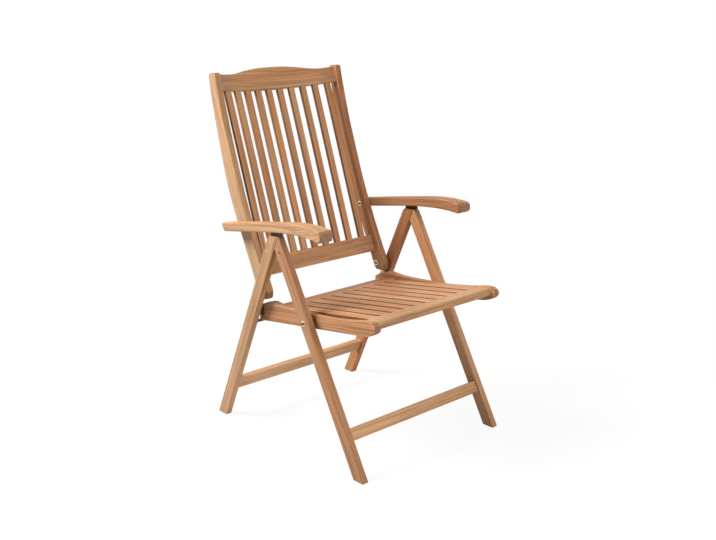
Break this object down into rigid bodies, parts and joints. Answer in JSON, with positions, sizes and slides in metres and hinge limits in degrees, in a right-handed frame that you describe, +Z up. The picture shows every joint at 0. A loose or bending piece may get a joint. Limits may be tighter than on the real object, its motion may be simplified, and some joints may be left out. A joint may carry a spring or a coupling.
{
  "type": "folding high-back armchair",
  "caption": "Folding slatted teak garden armchair with a high bowed back that reclines, crossed folding legs and shaped arms.",
  "frame": {"origin": "centre of the chair's bounding box on the floor plane", "axes": "+Z up, +X to the sitter's left, the sitter faces -Y"},
  "size_m": [0.612, 0.7956, 1.1198],
  "materials": {
    "teak_frame": "oiled teak, fine straight grain, satin",
    "teak_slat": "oiled teak slats, sanded smooth, satin",
    "teak_plug": "teak plugs glued flush over screws",
    "bright_washer": "bright stainless washers",
    "dull_steel": "plain stainless bolts, pins and straps, slightly dull"
  },
  "bodies": {
    "rear_frame": {"rear_leg_left": "teak_frame", "rear_leg_right": "teak_frame", "rear_stretcher": "teak_frame", "hinge_plate_left": "dull_steel", "hinge_plate_right": "dull_steel", "hinge_plate_screws": "dull_steel", "leg_screw_plugs": "teak_plug", "seat_rest_pins": "dull_steel", "latch_pins": "dull_steel"},
    "front_frame": {"front_leg_left": "teak_frame", "front_leg_right": "teak_frame", "front_stretcher": "teak_frame", "hinge_pivot_pins": "dull_steel", "seat_pivot_bolts": "dull_steel", "seat_pivot_washers": "bright_washer", "seat_pivot_spacers": "dull_steel", "seat_pivot_nuts": "dull_steel"},
    "seat_frame": {"seat_rail_left": "teak_frame", "seat_rail_right": "teak_frame", "seat_front_rail": "teak_frame", "seat_rear_rail": "teak_frame", "back_hinge_strap_left": "dull_steel", "back_hinge_strap_right": "dull_steel", "strap_screws": "dull_steel", "seat_slat_1": "teak_slat", "seat_slat_2": "teak_slat", "seat_slat_3": "teak_slat", "seat_slat_4": "teak_slat", "seat_slat_5": "teak_slat", "seat_slat_6": "teak_slat", "seat_slat_7": "teak_slat", "seat_slat_8": "teak_slat", "seat_slat_9": "teak_slat", "seat_slat_10": "teak_slat"},
    "back_bolts": {"back_pivot_bolts": "dull_steel", "back_pivot_nuts": "dull_steel", "back_pivot_washers": "bright_washer", "back_pivot_bushes": "dull_steel"},
    "back_frame": {"back_stile_left": "teak_frame", "back_stile_right": "teak_frame", "back_top_rail": "teak_frame", "back_bottom_rail": "teak_frame", "back_slat_1": "teak_slat", "back_slat_2": "teak_slat", "back_slat_3": "teak_slat", "back_slat_4": "teak_slat", "back_slat_5": "teak_slat", "back_slat_6": "teak_slat", "back_slat_7": "teak_slat", "back_slat_8": "teak_slat", "back_slat_9": "teak_slat", "back_slat_10": "teak_slat"},
    "arm_bolts": {"arm_pivot_bolts": "dull_steel", "arm_pivot_washers": "bright_washer", "arm_pivot_bushes": "dull_steel"},
    "left_arm": {"arm_left": "teak_frame"},
    "right_arm": {"arm_right": "teak_frame"}
  },
  "joints": [
    {"name": "leg_fold", "type": "hinge", "parent": "rear_frame", "child": "front_frame", "pos_m": [0, -0.02156, 0.616], "axis": [1, 0, 0], "range_deg": [0, 52.5]},
    {"name": "seat_fold", "type": "hinge", "parent": "front_frame", "child": "seat_frame", "pos_m": [0, -0.12507, 0.422], "axis": [1, 0, 0], "range_deg": [0, 71]},
    {"name": "back_fold", "type": "hinge", "parent": "seat_frame", "child": "back_bolts", "pos_m": [0, 0.12943, 0.46], "axis": [1, 0, 0], "range_deg": [0, 95]},
    {"name": "back_recline", "type": "hinge", "parent": "back_bolts", "child": "back_frame", "pos_m": [0, 0.12943, 0.46], "axis": [-1, 0, 0], "range_deg": [0, 24]},
    {"name": "arm_fold", "type": "hinge", "parent": "back_frame", "child": "arm_bolts", "pos_m": [0, 0.20893, 0.655], "axis": [-1, 0, 0], "range_deg": [0, 95]},
    {"name": "left_arm_level", "type": "hinge", "parent": "arm_bolts", "child": "left_arm", "pos_m": [0, 0.20893, 0.655], "axis": [1, 0, 0], "range_deg": [0, 14.9]},
    {"name": "right_arm_level", "type": "hinge", "parent": "arm_bolts", "child": "right_arm", "pos_m": [0, 0.20893, 0.655], "axis": [1, 0, 0], "range_deg": [0, 14.9]}
  ],
  "couplings": [
    {"joint": "seat_fold", "follows": "leg_fold", "ratio": 1.352},
    {"joint": "back_fold", "follows": "leg_fold", "ratio": 1.809},
    {"joint": "arm_fold", "follows": "leg_fold", "ratio": 1.809},
    {"joint": "left_arm_level", "follows": "back_recline", "ratio": 0.62},
    {"joint": "right_arm_level", "follows": "back_recline", "ratio": 0.62}
  ]
}
